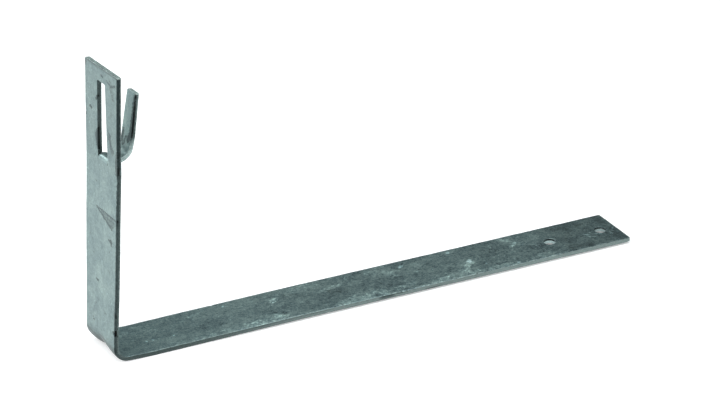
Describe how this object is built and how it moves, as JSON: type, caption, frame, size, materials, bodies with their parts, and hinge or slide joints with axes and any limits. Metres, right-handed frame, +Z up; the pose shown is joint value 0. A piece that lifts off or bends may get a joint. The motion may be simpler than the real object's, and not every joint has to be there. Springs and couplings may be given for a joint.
{
  "type": "roof bracket",
  "caption": "L-shaped roof bracket bent from flat steel bar: a long arm with fixing holes and an upright with a pierced slot and an open retaining hook.",
  "frame": {"origin": "fixing datum: on the underside of the arm, midway between the two fixing holes and at mid-width", "axes": "+X along the arm towards its free end, away from the upright; +Y across the bar; +Z up, square to the arm, the way the upright stands"},
  "size_m": [0.3748, 0.04, 0.1929],
  "materials": {
    "galvanised_steel": "hot-dip galvanised, matt blue-grey with a mottled zinc bloom"
  },
  "bodies": {
    "root": {"bracket_strap": "galvanised_steel"}
  },
  "joints": []
}
